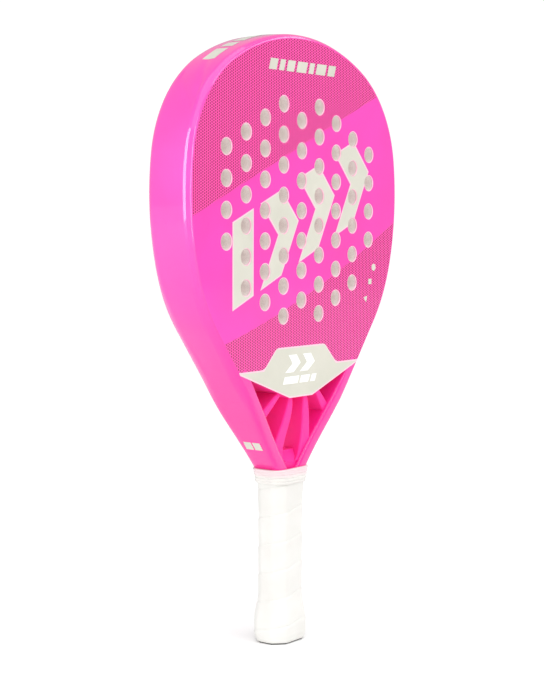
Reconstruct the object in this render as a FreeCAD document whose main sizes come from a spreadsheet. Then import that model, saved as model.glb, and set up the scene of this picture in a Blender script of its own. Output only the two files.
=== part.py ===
import FreeCAD, Part
import math
import os
import Sketcher

Vector = FreeCAD.Vector

# Padel racket.  Millimetres.  The origin is the middle of the butt end, Z runs up
# to the head, X runs across the hitting face and the front face looks along -Y.

doc = FreeCAD.newDocument("padel_racket")
sheet = doc.addObject("Spreadsheet::Sheet", "Dims")

DIMENSIONS = (
    # Outer outline of the frame, from the top of the head down to the leg.
    ("rim_top", 455.0),
    ("top_radius", 167.0),
    ("top_sweep", 28.4),
    ("shoulder_radius", 93.1),
    ("shoulder_sweep", 53.5),
    ("side_radius", 207.3),
    ("side_sweep", 22.6),
    ("hip_radius", 131.3),
    ("hip_sweep", 23.1),
    ("neck_radius", 15.0),
    # Frame tube section.
    ("depth", 38.0),
    ("neck_depth", 24.0),
    ("handle_depth", 18.0),
    ("tube_width", 11.0),
    ("tube_wall", 1.1),
    ("film", 0.4),
    ("bevel", 3.4),
    ("leg_round", 9.2),
    ("throat_round", 3.2),
    ("leg_gap", 1.0),
    ("tube_end", 14.0),
    ("bond", 0.05),
    # Face skins and core.
    ("skin", 0.8),
    ("hole_dia", 12.7),
    ("hole_pitch_x", 22.13),
    ("hole_pitch_z", 22.09),
    ("hole_top", 403.2),
    # Bridge and throat.
    ("bridge_low", 187.5),
    ("bridge_flat", 14.2),
    ("bridge_rise", 19.6),
    ("bridge_width", 11.0),
    ("bridge_wall", 1.2),
    ("rib_thick", 4.8),
    ("rib_depth", 34.0),
    ("rib_edge", 1.3),
    ("wedge_top", 137.5),
    ("saddle_top", 146.0),
    ("saddle_depth", 10.0),
    ("wedge_end", 20.0),
    # Handle: half width, half depth and corner cut of each octagon.
    ("pallet_a", 15.8),
    ("pallet_b", 12.1),
    ("pallet_c", 7.0),
    ("pallet_end", 117.5),
    ("grip_a", 17.8),
    ("grip_b", 14.1),
    ("grip_c", 8.0),
    ("grip_top", 125.5),
    ("flare_a", 20.8),
    ("flare_b", 16.2),
    ("flare_c", 9.0),
    ("flare_low", 6.0),
    ("flare_mid", 20.0),
    ("flare_top", 35.0),
    ("butt_a", 19.9),
    ("butt_b", 15.2),
    ("butt_c", 8.7),
    ("grip_start", 1.2),
    ("grip_thick", 2.0),
    ("cap_floor", 4.0),
    ("cord_hole_dia", 6.0),
    ("cap_top", 32.0),
    ("cap_top_a", 16.5),
    ("cap_top_b", 12.7),
    ("cap_top_c", 7.2),
    ("screw_z", 24.0),
    ("screw_head_dia", 5.0),
    ("screw_head", 1.0),
    ("screw_dia", 2.2),
    ("screw_length", 2.8),
    ("collar_top", 136.8),
    ("collar_low_a", 19.3),
    ("collar_low_b", 15.6),
    ("collar_low_c", 8.4),
    ("collar_top_a", 22.8),
    ("collar_top_b", 13.0),
    ("collar_top_c", 5.8),
    ("collar_neck_a", 22.05),
    ("collar_neck_b", 12.3),
    ("collar_neck_c", 4.6),
    # Films of the graphics.
    ("decal", 0.2),
    ("plate_wing", 210.5),
    ("plate_top", 225.5),
    ("plate_knee", 45.1),
    ("plate_shoulder", 30.1),
    ("emblem_slope", 0.417),
    ("emblem_low", 289.0),
    ("emblem_high", 351.5),
    ("word_low", 427.0),
    ("word_high", 435.0),
)

for row, (alias, value) in enumerate(DIMENSIONS, start=1):
    sheet.set("A%d" % row, alias)
    sheet.set("B%d" % row, repr(value))
    sheet.setAlias("B%d" % row, alias)
doc.recompute()
size = {alias: float(sheet.get(alias)) for alias, _ in DIMENSIONS}


# ---------------------------------------------------------------- outline of the frame

def rim_arcs():
    """The four arcs of the right half of the outer outline, and where they end."""
    arcs = []
    x = 0.0
    z = size["rim_top"]
    turn = 0.0
    for name in ("top", "shoulder", "side", "hip"):
        radius = size[name + "_radius"]
        cx = x - radius * math.sin(turn)
        cz = z - radius * math.cos(turn)
        start = turn
        turn += math.radians(size[name + "_sweep"])
        x = cx + radius * math.sin(turn)
        z = cz + radius * math.cos(turn)
        arcs.append((cx, cz, radius, start, turn))
    return arcs, (x, z), turn


ARCS, LEG_START, LEG_TURN = rim_arcs()
LEG_DIR = (math.cos(LEG_TURN), -math.sin(LEG_TURN))
NECK_TURN = LEG_TURN - math.pi / 2
HANDLE_X = size["leg_gap"] / 2 + size["tube_width"]
BEND_X = HANDLE_X + size["neck_radius"] * (1 - math.cos(NECK_TURN))
LEG_LENGTH = (BEND_X - LEG_START[0]) / LEG_DIR[0]
BEND_Z = LEG_START[1] + LEG_DIR[1] * LEG_LENGTH
BEND_END_Z = BEND_Z - size["neck_radius"] * math.sin(NECK_TURN)


def leg_point(inset, z):
    """The point of the straight leg line, moved in by inset, at height z."""
    x0 = LEG_START[0] - inset * math.sin(LEG_TURN)
    z0 = LEG_START[1] - inset * math.cos(LEG_TURN)
    return (x0 + (z - z0) * LEG_DIR[0] / LEG_DIR[1], z)


def leg_meets(inset, point, angle):
    """Where the leg line, moved in by inset, meets a line through point at this angle."""
    x0, z0 = leg_point(inset, LEG_START[1])
    dx = math.cos(angle)
    dz = math.sin(angle)
    det = LEG_DIR[0] * dz - LEG_DIR[1] * dx
    along = ((point[0] - x0) * dz - (point[1] - z0) * dx) / det
    return (x0 + along * LEG_DIR[0], z0 + along * LEG_DIR[1])


# ---------------------------------------------------------------- sketches and features

def plane_of(body, role):
    return [item for item in body.Origin.OriginFeatures if item.Role == role][0]


def new_body(label):
    body = doc.addObject("PartDesign::Body", label)
    body.Label = label
    return body


def new_sketch(body, name, role="XZ_Plane", offset=None):
    """An empty sketch on one of the body's origin planes, moved along its normal."""
    sketch = body.newObject("Sketcher::SketchObject", name)
    sketch.AttachmentSupport = (plane_of(body, role), [""])
    sketch.MapMode = "FlatFace"
    if offset is not None:
        sketch.setExpression("AttachmentOffset.Base.z", offset)
    return sketch


def line(start, end):
    return Part.LineSegment(Vector(start[0], start[1], 0), Vector(end[0], end[1], 0))


def rim_arc(index, inset, side):
    """One arc of the outline, moved in by inset, on the right (1) or the left (-1)."""
    cx, cz, radius, start, end = ARCS[index]
    circle = Part.Circle(Vector(side * cx, cz, 0), Vector(0, 0, 1), radius - inset)
    if side > 0:
        return Part.ArcOfCircle(circle, math.pi / 2 - end, math.pi / 2 - start)
    return Part.ArcOfCircle(circle, math.pi / 2 + start, math.pi / 2 + end)


def close_loop(sketch, first, count):
    """Ties each piece of a loop to the next with a coincident constraint."""
    for step in range(count):
        here = first + step
        after = first + (step + 1) % count
        ends = [(p, q) for p in (1, 2) for q in (1, 2)]
        gaps = [(sketch.getPoint(here, p) - sketch.getPoint(after, q)).Length for p, q in ends]
        p, q = ends[gaps.index(min(gaps))]
        sketch.addConstraint(Sketcher.Constraint("Coincident", here, p, after, q))


def add_polygon(sketch, points):
    """A closed polygon."""
    first = sketch.GeometryCount
    for index, point in enumerate(points):
        sketch.addGeometry(line(point, points[(index + 1) % len(points)]), False)
    close_loop(sketch, first, len(points))


def bind(sketch, constraint, expression):
    """Adds a dimension whose value follows the sheet."""
    index = sketch.addConstraint(constraint)
    sketch.setExpression("Constraints[%d]" % index, expression)


def add_head_loop(sketch, inset_name, inset, bottom):
    """The head's outline moved in by inset, closed below by the right-hand points of bottom.

    The points run from the leg inwards, and the left side mirrors the right."""
    first = sketch.GeometryCount
    right_leg = leg_point(inset, LEG_START[1] - inset * math.cos(LEG_TURN))
    chain = [line(right_leg, bottom[0])]
    for index in range(len(bottom) - 1):
        chain.append(line(bottom[index], bottom[index + 1]))
    chain.append(line(bottom[-1], (-bottom[-1][0], bottom[-1][1])))
    for index in range(len(bottom) - 1, 0, -1):
        chain.append(line((-bottom[index][0], bottom[index][1]),
                          (-bottom[index - 1][0], bottom[index - 1][1])))
    chain.append(line((-bottom[0][0], bottom[0][1]), (-right_leg[0], right_leg[1])))
    for index in (3, 2, 1):
        chain.append(rim_arc(index, inset, -1))
    cx, cz, radius, start, end = ARCS[0]
    circle = Part.Circle(Vector(0, cz, 0), Vector(0, 0, 1), radius - inset)
    chain.append(Part.ArcOfCircle(circle, math.pi / 2 - end, math.pi / 2 + end))
    for index in (1, 2, 3):
        chain.append(rim_arc(index, inset, 1))
    for item in chain:
        sketch.addGeometry(item, False)
    close_loop(sketch, first, len(chain))
    names = ("hip", "side", "shoulder", "top", "shoulder", "side", "hip")
    for step, name in enumerate(names):
        arc = first + len(chain) - 7 + step
        expression = "Dims.%s_radius - %s" % (name, inset_name)
        bind(sketch, Sketcher.Constraint("Radius", arc, radius_of(name, inset)), expression)


def radius_of(name, inset):
    return size[name + "_radius"] - inset


def pad(body, sketch, length, midplane=True, reverse=False):
    feature = body.newObject("PartDesign::Pad", sketch.Name + "_pad")
    feature.Profile = sketch
    feature.Midplane = midplane
    feature.Reversed = reverse
    feature.setExpression("Length", length)
    sketch.Visibility = False
    body.Tip = feature
    return feature


def pocket_through(body, sketch):
    """Cuts the sketch right through the body, both ways."""
    feature = body.newObject("PartDesign::Pocket", sketch.Name + "_pocket")
    feature.Profile = sketch
    feature.Midplane = True
    feature.Type = "ThroughAll"
    sketch.Visibility = False
    body.Tip = feature
    return feature


def add_octagon(sketch, half_width, half_depth, corner):
    """A centred octagon, fully constrained by its half width, half depth and corner cut."""
    a = sheet_value(half_width)
    b = sheet_value(half_depth)
    c = sheet_value(corner)
    points = [(a, c - b), (a, b - c), (a - c, b), (c - a, b),
              (-a, b - c), (-a, c - b), (c - a, -b), (a - c, -b)]
    first = sketch.GeometryCount
    add_polygon(sketch, points)
    right = first
    top = first + 2
    left = first + 4
    low = first + 6
    pairs = ((right, 1, right, 2, -1), (top, 1, top, 2, -2))
    for one, p, two, q, axis in pairs:
        sketch.addConstraint(Sketcher.Constraint("Symmetric", one, p, two, q, axis))
    for one, two in ((right, left), (top, low)):
        for end in (1, 2):
            sketch.addConstraint(Sketcher.Constraint("Symmetric", one, end, two, end, -1, 1))
    bind(sketch, Sketcher.Constraint("DistanceX", -1, 1, right, 2, a), half_width)
    bind(sketch, Sketcher.Constraint("DistanceY", -1, 1, right, 2, b - c),
         "%s - (%s)" % (half_depth, corner))
    bind(sketch, Sketcher.Constraint("DistanceX", -1, 1, top, 1, a - c),
         "%s - (%s)" % (half_width, corner))
    bind(sketch, Sketcher.Constraint("DistanceY", -1, 1, top, 1, b), half_depth)


def sheet_value(expression):
    """The value of a short expression of sheet names, such as 'Dims.grip_a - Dims.film'."""
    total = 0.0
    sign = 1.0
    for word in expression.split():
        if word == "-":
            sign = -1.0
        elif word == "+":
            sign = 1.0
        elif word.startswith("Dims."):
            total += sign * size[word[5:]]
        else:
            total += sign * float(word)
    return total


def octagon_sketch(body, name, height, half_width, half_depth, corner):
    sketch = new_sketch(body, name, "XY_Plane", height)
    add_octagon(sketch, half_width, half_depth, corner)
    return sketch


def octagon_loft(body, name, levels, cut=False):
    """A straight-sided loft through octagons given as (height, half width, half depth, corner)."""
    sketches = []
    for step, (height, half_width, half_depth, corner) in enumerate(levels):
        sketches.append(octagon_sketch(body, "%s_level_%d" % (name, step), height,
                                       half_width, half_depth, corner))
    doc.recompute()
    kind = "PartDesign::SubtractiveLoft" if cut else "PartDesign::AdditiveLoft"
    feature = body.newObject(kind, name)
    feature.Profile = sketches[0]
    feature.Sections = sketches[1:]
    feature.Ruled = True
    feature.Closed = False
    for sketch in sketches:
        sketch.Visibility = False
    body.Tip = feature
    return feature


# ---------------------------------------------------------------- frame tube

def ease(value, low, high):
    """Smooth step from 0 at low to 1 at high."""
    t = min(1.0, max(0.0, (value - low) / (high - low)))
    return t * t * (3 - 2 * t)


def head_stations():
    """Points down the right outer wall to the neck: x, z and how far the outline has turned."""
    points = []
    for (cx, cz, radius, start, end), steps in zip(ARCS, (6, 7, 6, 4)):
        for step in range(steps):
            turn = start + (end - start) * step / steps
            points.append((cx + radius * math.sin(turn), cz + radius * math.cos(turn), turn))
    for step in range(11):
        along = LEG_LENGTH * step / 10
        points.append((LEG_START[0] + LEG_DIR[0] * along, LEG_START[1] + LEG_DIR[1] * along, LEG_TURN))
    return points


def handle_stations():
    """Points from the neck's bend down to the tube's end."""
    points = []
    for step in range(5):
        turn = NECK_TURN * (1 - step / 4)
        x = HANDLE_X + size["neck_radius"] * (1 - math.cos(turn))
        z = BEND_END_Z + size["neck_radius"] * math.sin(turn)
        points.append((x, z, turn + math.pi / 2))
    points.append((HANDLE_X, size["tube_end"], math.pi / 2))
    return points


def half_depth_at(z):
    """Half depth of the frame: full in the head, less down the leg, least in the handle."""
    neck = size["neck_depth"] / 2
    handle = size["handle_depth"] / 2
    depth = handle + (neck - handle) * ease(z, 118.0, 132.0)
    return depth + (size["depth"] / 2 - neck) * ease(z, 132.0, 200.0)


def tube_section(station, side, inset, front_inset):
    """One closed section of the tube, moved in by inset at its sides and front_inset in depth."""
    x, z, turn = station
    half = half_depth_at(z + 3) - front_inset
    width = size["tube_width"]
    shrink = 1.0 if inset == 0 else 0.65
    bevel_in = size["bevel"] + (size["leg_round"] - size["bevel"]) * ease(-z, -206.0, -150.0)
    bevel_deep = size["bevel"] + (size["leg_round"] - size["bevel"]) * ease(-z, -285.0, -205.0)
    bevel_in = min(bevel_in * shrink, width - 2 * inset - size["throat_round"] * shrink - 0.4)
    bevel_deep = min(bevel_deep * shrink, half * 0.78)
    bulge = ease(-z, -285.0, -240.0)
    throat = (0.3 + (size["throat_round"] - 0.3) * ease(-z, -208.0, -180.0)) * shrink

    def place(u, v):
        return Vector(side * (x - u * math.sin(turn)), v, z - u * math.cos(turn))

    def rounding(u0, v0, u1, v1, u_corner, v_corner, fullness):
        u = (u0 + u1) / 2
        v = (v0 + v1) / 2
        pole = place(u + fullness * (u_corner - u), v + fullness * (v_corner - v))
        curve = Part.BezierCurve()
        curve.setPoles([place(u0, v0), pole, place(u1, v1)])
        return curve.toShape()

    out = inset
    inner = width - inset
    edge_in = out + bevel_in
    edge_deep = half - bevel_deep
    soft_in = inner - throat
    soft_deep = half - throat
    edges = [
        Part.makeLine(place(soft_in, -half), place(edge_in, -half)),
        rounding(edge_in, -half, out, -edge_deep, out, -half, bulge),
        Part.makeLine(place(out, -edge_deep), place(out, edge_deep)),
        rounding(out, edge_deep, edge_in, half, out, half, bulge),
        Part.makeLine(place(edge_in, half), place(soft_in, half)),
        rounding(soft_in, half, inner, soft_deep, inner, half, 1.0),
        Part.makeLine(place(inner, soft_deep), place(inner, -soft_deep)),
        rounding(inner, -soft_deep, soft_in, -half, inner, -half, 1.0),
    ]
    return Part.Wire(edges)


def tube_solid(inset, front_inset):
    """A solid that runs down one leg, round the head and down the other."""
    points = head_stations()
    wires = [tube_section(point, -1, inset, front_inset) for point in reversed(points[1:])]
    wires += [tube_section(point, 1, inset, front_inset) for point in points]
    solid = Part.makeLoft(wires, True, False, False, 5)
    legs = []
    for side in (-1, 1):
        wires = [tube_section(point, side, inset, front_inset) for point in handle_stations()]
        legs.append(Part.makeLoft(wires, True, True))
    return solid.fuse(legs)


def add_solid(label, shape):
    feature = doc.addObject("Part::Feature", label)
    feature.Label = label
    feature.Shape = shape
    feature.Placement = FreeCAD.Placement()
    return feature


def make_frame():
    """Returns the frame tube, and the same tube before it is hollowed."""
    outer = tube_solid(0, 0)
    cavity = tube_solid(size["tube_wall"], size["tube_wall"] + size["skin"])
    hollow = outer.cut(cavity)
    for sign in (-1, 1):
        hollow = hollow.cut(skin_seat(sign))
    return hollow, outer, cavity


def skin_seat(sign):
    """The shallow recess that a face skin lies in; it runs out past the frame's surface."""
    seat = head_prism(size["bevel"], size["skin"] + 1)
    seat.translate(Vector(0, sign * (size["depth"] - size["skin"] + 1) / 2, 0))
    return seat


def head_prism(inset, thickness):
    """The head's outline moved in by inset, as a plate about the middle plane."""
    points, arcs = head_outline(inset, skin_bottom(inset))
    edges = [Part.makeLine(Vector(a[0], 0, a[1]), Vector(b[0], 0, b[1])) for a, b in points]
    edges += [Part.Arc(*[Vector(p[0], 0, p[1]) for p in arc]).toShape() for arc in arcs]
    face = Part.Face(Part.Wire(Part.__sortEdges__(edges)))
    plate = face.extrude(Vector(0, thickness, 0))
    plate.translate(Vector(0, -thickness / 2, 0))
    return plate


def head_outline(inset, bottom):
    """The head's outline moved in by inset, as straight pieces and three-point arcs."""
    start = leg_point(inset, LEG_START[1] - inset * math.cos(LEG_TURN))
    right = [start] + bottom
    left = [(-x, z) for x, z in reversed(right)]
    chain = right + left
    pieces = list(zip(chain, chain[1:]))
    arcs = []
    for cx, cz, radius, first, last in ARCS:
        turns = (first, (first + last) / 2, last)
        arc = [(cx + (radius - inset) * math.sin(t), cz + (radius - inset) * math.cos(t)) for t in turns]
        arcs.append(arc)
        arcs.append([(-x, z) for x, z in arc])
    return pieces, arcs


def bridge_line(rise, inset):
    """A line parallel to the bridge's lower edge: its end at the leg, and its flat's end."""
    angle = math.radians(size["bridge_rise"])
    flat = (size["bridge_flat"] - rise * math.tan(angle / 2), size["bridge_low"] + rise)
    return [leg_meets(inset, flat, angle), flat]


def skin_bottom(inset):
    return bridge_line(0.0, inset)


# ---------------------------------------------------------------- head

def drill(body):
    """Drills the pattern of round holes right through a body."""
    sketch = new_sketch(body, body.Name + "_holes")
    first = None
    for x, z in hole_centres():
        circle = Part.Circle(Vector(x, z, 0), Vector(0, 0, 1), size["hole_dia"] / 2)
        index = sketch.addGeometry(circle, False)
        if first is None:
            first = index
            bind(sketch, Sketcher.Constraint("Diameter", first, size["hole_dia"]), "Dims.hole_dia")
        else:
            sketch.addConstraint(Sketcher.Constraint("Equal", first, index))
    pocket_through(body, sketch)


def hole_centres():
    """Staggered columns: for each column out from the middle, its first half row and count."""
    centres = []
    for column, (half_row, count) in enumerate(((1, 7), (0, 8), (1, 7), (2, 6), (3, 4))):
        for step in range(count):
            z = size["hole_top"] - (half_row / 2 + step) * size["hole_pitch_z"]
            for side in ((1, -1) if column else (1,)):
                centres.append((side * column * size["hole_pitch_x"], z))
    return centres


def make_skin(label, offset):
    body = new_body(label)
    sketch = new_sketch(body, label + "_outline", "XZ_Plane", offset)
    add_head_loop(sketch, "Dims.bevel", size["bevel"], skin_bottom(size["bevel"]))
    pad(body, sketch, "Dims.skin", midplane=False)
    drill(body)
    return body


def make_core():
    body = new_body("core")
    sketch = new_sketch(body, "core_outline")
    inset = size["tube_width"] + size["bond"]
    add_head_loop(sketch, "(Dims.tube_width + Dims.bond)", inset,
                  bridge_line(size["bridge_width"] + size["bond"], inset))
    pad(body, sketch, "Dims.depth - 2 * Dims.skin")
    drill(body)
    return body


def bridge_polygon(wall):
    """The bridge's outline, moved in by wall."""
    inset = size["tube_width"] + size["bond"] + wall
    low = bridge_line(wall, inset)
    high = bridge_line(size["bridge_width"] - wall, inset)
    right = [low[1], low[0], high[0], high[1]]
    return right + [(-x, z) for x, z in reversed(right)]


def make_bridge_shell():
    body = new_body("bridge_shell")
    sketch = new_sketch(body, "bridge_outline")
    add_polygon(sketch, bridge_polygon(0.0))
    pad(body, sketch, "Dims.depth - 2 * Dims.skin")
    inner = new_sketch(body, "bridge_inside")
    add_polygon(inner, bridge_polygon(size["bridge_wall"]))
    feature = body.newObject("PartDesign::Pocket", "bridge_hollow")
    feature.Profile = inner
    feature.Midplane = True
    feature.setExpression("Length", "Dims.depth - 2 * Dims.skin - 2 * Dims.bridge_wall")
    inner.Visibility = False
    body.Tip = feature
    return body


def make_bridge_foam():
    body = new_body("bridge_foam")
    sketch = new_sketch(body, "bridge_foam_outline")
    add_polygon(sketch, bridge_polygon(size["bridge_wall"]))
    pad(body, sketch, "Dims.depth - 2 * Dims.skin - 2 * Dims.bridge_wall")
    return body


# The ribs' inner edge beside the valley of the neck, from the right rib's middle down.
VALLEY_EDGE = [(7.7, 168.0), (9.7, 155.0), (9.8, 146.0), (8.5, 140.5), (5.2, 137.5)]


def rib_foot_line(point, angle):
    """Where a rib's edge through this point meets the inner wall of the leg."""
    return leg_meets(size["tube_width"] + size["bond"], point, angle)


def smooth_curve(points):
    curve = Part.BSplineCurve()
    curve.interpolate([Vector(x, z, 0) for x, z in points])
    return curve


def make_inner_rib(label, side):
    """A rib that drops from the bridge's flat and flares into the leg and the neck."""
    top = size["bridge_low"] - size["bond"]
    foot = leg_point(size["tube_width"] + size["bond"], size["wedge_top"])
    inward = [(6.8, top)] + VALLEY_EDGE
    outward = [(18.0, 166.5), (6.8 + size["rib_thick"], top)]
    outward.insert(0, rib_foot_line(outward[0], math.radians(-73.0)))
    body = new_body(label)
    sketch = new_sketch(body, label + "_outline")
    chain = [
        smooth_curve([(side * x, z) for x, z in inward]),
        line((side * inward[-1][0], inward[-1][1]), (side * foot[0], foot[1])),
        line((side * foot[0], foot[1]), (side * outward[0][0], outward[0][1])),
        smooth_curve([(side * x, z) for x, z in outward]),
        line((side * outward[-1][0], outward[-1][1]), (side * inward[0][0], inward[0][1])),
    ]
    for item in chain:
        sketch.addGeometry(item, False)
    close_loop(sketch, 0, len(chain))
    pad(body, sketch, "Dims.rib_depth")
    taper_rib(body, ((16.5, 188.0), (15.0, 170.0), (11.8, 155.0), (10.0, 145.0), (9.8, 136.0)))
    return body


def make_outer_rib(label, side):
    """A short rib from the bridge's slope out to the leg, a little wider at its foot."""
    slope = math.radians(size["bridge_rise"])
    start = (23.6, size["bridge_low"] - size["bond"] + (23.6 - size["bridge_flat"]) * math.tan(slope))
    corners = []
    for shift, lean in ((-0.5, 42.0), (0.5, 49.0)):
        x = start[0] + shift * size["rib_thick"] * math.cos(math.radians(45.4))
        z = start[1] + shift * size["rib_thick"] * math.sin(math.radians(45.4))
        angle = math.radians(lean - 90.0)
        corners.append((meet((x, z), angle, start, slope), rib_foot_line((x, z), angle)))
    points = [corners[0][0], corners[1][0], corners[1][1], corners[0][1]]
    body = new_body(label)
    sketch = new_sketch(body, label + "_outline")
    add_polygon(sketch, [(side * x, z) for x, z in points])
    pad(body, sketch, "Dims.rib_depth")
    taper_rib(body, ((16.5, 196.0), (15.8, 186.0), (13.6, 174.0), (13.0, 168.0)))
    return body


def taper_rib(body, profile):
    """Thins a rib toward its foot along a smooth profile of half depth and height, then
    rounds the long edges of its front and rear."""
    cut = new_sketch(body, body.Name + "_taper", "YZ_Plane")
    first = 0
    for front in (-1, 1):
        far = front * (size["rib_depth"] / 2 + 4)
        high, low = profile[0][1], profile[-1][1]
        cut.addGeometry(smooth_curve([(front * y, z) for y, z in profile]), False)
        cut.addGeometry(line((front * profile[-1][0], low), (far, low)), False)
        cut.addGeometry(line((far, low), (far, high)), False)
        cut.addGeometry(line((far, high), (front * profile[0][0], high)), False)
        close_loop(cut, first, 4)
        first += 4
    pocket_through(body, cut)
    doc.recompute()
    tapered = body.Tip
    rounded = body.newObject("PartDesign::Fillet", body.Name + "_edges")
    rounded.Base = (tapered, long_edges(tapered.Shape))
    rounded.setExpression("Radius", "Dims.rib_edge")
    body.Tip = rounded


def long_edges(shape):
    """Names of the free edges down a rib's front and rear, without those along the leg."""
    names = []
    for index, edge in enumerate(shape.Edges, start=1):
        box = edge.BoundBox
        middle = edge.valueAt((edge.FirstParameter + edge.LastParameter) / 2)
        wall = leg_point(size["tube_width"] + size["bond"], middle.z)[0]
        if box.ZLength > 8 and abs(middle.y) > 8 and wall - abs(middle.x) > 0.5:
            names.append("Edge%d" % index)
    return names


def meet(point, angle, other, other_angle):
    """Where two lines, each given by a point and an angle, cross."""
    dx, dz = math.cos(angle), math.sin(angle)
    ex, ez = math.cos(other_angle), math.sin(other_angle)
    det = dx * ez - dz * ex
    along = ((other[0] - point[0]) * ez - (other[1] - point[1]) * ex) / det
    return (point[0] + along * dx, point[1] + along * dz)


def make_wedge():
    """The wedge where the legs meet, with a saddle between the ribs' feet above it and the
    thin web between the legs down the handle."""
    body = new_body("neck_wedge")
    sketch = new_sketch(body, "neck_wedge_outline")
    inner = size["neck_radius"] + size["tube_width"] + size["bond"]
    centre_x = HANDLE_X + size["neck_radius"]
    top = leg_point(size["tube_width"] + size["bond"], size["wedge_top"])
    bend = (centre_x - inner * math.cos(NECK_TURN), BEND_END_Z + inner * math.sin(NECK_TURN))
    web = (centre_x - inner, BEND_END_Z)
    end = (web[0], size["wedge_end"])
    right_circle = Part.Circle(Vector(centre_x, BEND_END_Z, 0), Vector(0, 0, 1), inner)
    left_circle = Part.Circle(Vector(-centre_x, BEND_END_Z, 0), Vector(0, 0, 1), inner)
    chain = [
        line((-top[0], top[1]), top),
        line(top, bend),
        Part.ArcOfCircle(right_circle, math.pi - NECK_TURN, math.pi),
        line(web, end),
        line(end, (-end[0], end[1])),
        line((-end[0], end[1]), (-web[0], web[1])),
        Part.ArcOfCircle(left_circle, 0.0, NECK_TURN),
        line((-bend[0], bend[1]), (-top[0], top[1])),
    ]
    for item in chain:
        sketch.addGeometry(item, False)
    close_loop(sketch, 0, len(chain))
    pad(body, sketch, "Dims.handle_depth - 0.4")
    saddle = new_sketch(body, "saddle_outline")
    gap = 0.3
    right = [(x - gap, z) for x, z in VALLEY_EDGE if z < size["saddle_top"] + 1]
    right[-1] = (right[-1][0], size["wedge_top"])
    add_polygon(saddle, right + [(-x, z) for x, z in reversed(right)])
    pad(body, saddle, "Dims.handle_depth - 0.4")
    slope = new_sketch(body, "saddle_slope", "YZ_Plane")
    low = size["handle_depth"] / 2
    for front in (-1, 1):
        add_polygon(slope, [(front * low, size["wedge_top"]), (front * low, size["saddle_top"] + 1),
                            (front * size["saddle_depth"] / 2, size["saddle_top"] + 1),
                            (front * size["saddle_depth"] / 2, size["saddle_top"] - 1)])
    pocket_through(body, slope)
    return body


# ---------------------------------------------------------------- handle

def make_pallet(label, side):
    """One half of the foam sleeve that gives the handle its eight flats."""
    body = new_body(label)
    sketch = octagon_sketch(body, label + "_outline", "Dims.cap_floor",
                            "Dims.pallet_a", "Dims.pallet_b", "Dims.pallet_c")
    pad(body, sketch, "Dims.pallet_end - Dims.cap_floor", midplane=False)
    half_x = HANDLE_X + size["bond"]
    half_y = size["handle_depth"] / 2 + size["bond"]
    slot = new_sketch(body, label + "_slot", "XY_Plane")
    add_polygon(slot, [(-half_x, -half_y), (half_x, -half_y), (half_x, half_y), (-half_x, half_y)])
    pocket_through(body, slot)
    split = new_sketch(body, label + "_split", "XY_Plane")
    add_polygon(split, [(-30, 0), (30, 0), (30, -side * 30), (-30, -side * 30)])
    pocket_through(body, split)
    drill_screw(body, "Dims.screw_dia")
    return body


def drill_screw(body, diameter):
    sketch = new_sketch(body, body.Name + "_screw_hole")
    circle = Part.Circle(Vector(0, size["screw_z"], 0), Vector(0, 0, 1), sheet_value(diameter) / 2)
    sketch.addGeometry(circle, False)
    sketch.addConstraint(Sketcher.Constraint("PointOnObject", 0, 3, -2))
    bind(sketch, Sketcher.Constraint("Diameter", 0, sheet_value(diameter)), diameter)
    bind(sketch, Sketcher.Constraint("DistanceY", -1, 1, 0, 3, size["screw_z"]), "Dims.screw_z")
    pocket_through(body, sketch)


def cap_levels():
    """The outside of the butt cap, which is the inside of the grip's flare."""
    flare = ("Dims.flare_a - Dims.grip_thick", "Dims.flare_b - Dims.grip_thick", "Dims.flare_c - 1.17")
    return [
        ("0 mm", "Dims.butt_a - Dims.grip_thick", "Dims.butt_b - Dims.grip_thick", "Dims.butt_c - 1.17"),
        ("Dims.flare_low",) + flare,
        ("Dims.flare_mid",) + flare,
        ("Dims.cap_top", "Dims.cap_top_a", "Dims.cap_top_b", "Dims.cap_top_c"),
    ]


def make_cap():
    body = new_body("butt_cap")
    octagon_loft(body, "butt_cap_outside", cap_levels())
    bore = octagon_sketch(body, "butt_cap_bore", "Dims.cap_floor",
                          "Dims.pallet_a", "Dims.pallet_b", "Dims.pallet_c")
    feature = body.newObject("PartDesign::Pocket", "butt_cap_socket")
    feature.Profile = bore
    feature.Reversed = True
    feature.Type = "ThroughAll"
    bore.Visibility = False
    body.Tip = feature
    cord = new_sketch(body, "cord_hole", "XY_Plane")
    circle = Part.Circle(Vector(0, 0, 0), Vector(0, 0, 1), size["cord_hole_dia"] / 2)
    cord.addGeometry(circle, False)
    cord.addConstraint(Sketcher.Constraint("Coincident", 0, 3, -1, 1))
    bind(cord, Sketcher.Constraint("Diameter", 0, size["cord_hole_dia"]), "Dims.cord_hole_dia")
    pocket_through(body, cord)
    drill_screw(body, "Dims.screw_head_dia")
    return body


def make_screws():
    """Two short screws that hold the cap, one at the front and one at the back."""
    screws = []
    for sign in (-1, 1):
        seat = Vector(0, sign * size["pallet_b"], size["screw_z"])
        head = Part.makeCylinder(size["screw_head_dia"] / 2, size["screw_head"], seat, Vector(0, sign, 0))
        shank = Part.makeCylinder(size["screw_dia"] / 2, size["screw_length"], seat, Vector(0, -sign, 0))
        screws.append(head.fuse(shank))
    return add_solid("cap_screws", Part.makeCompound(screws))


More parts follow.
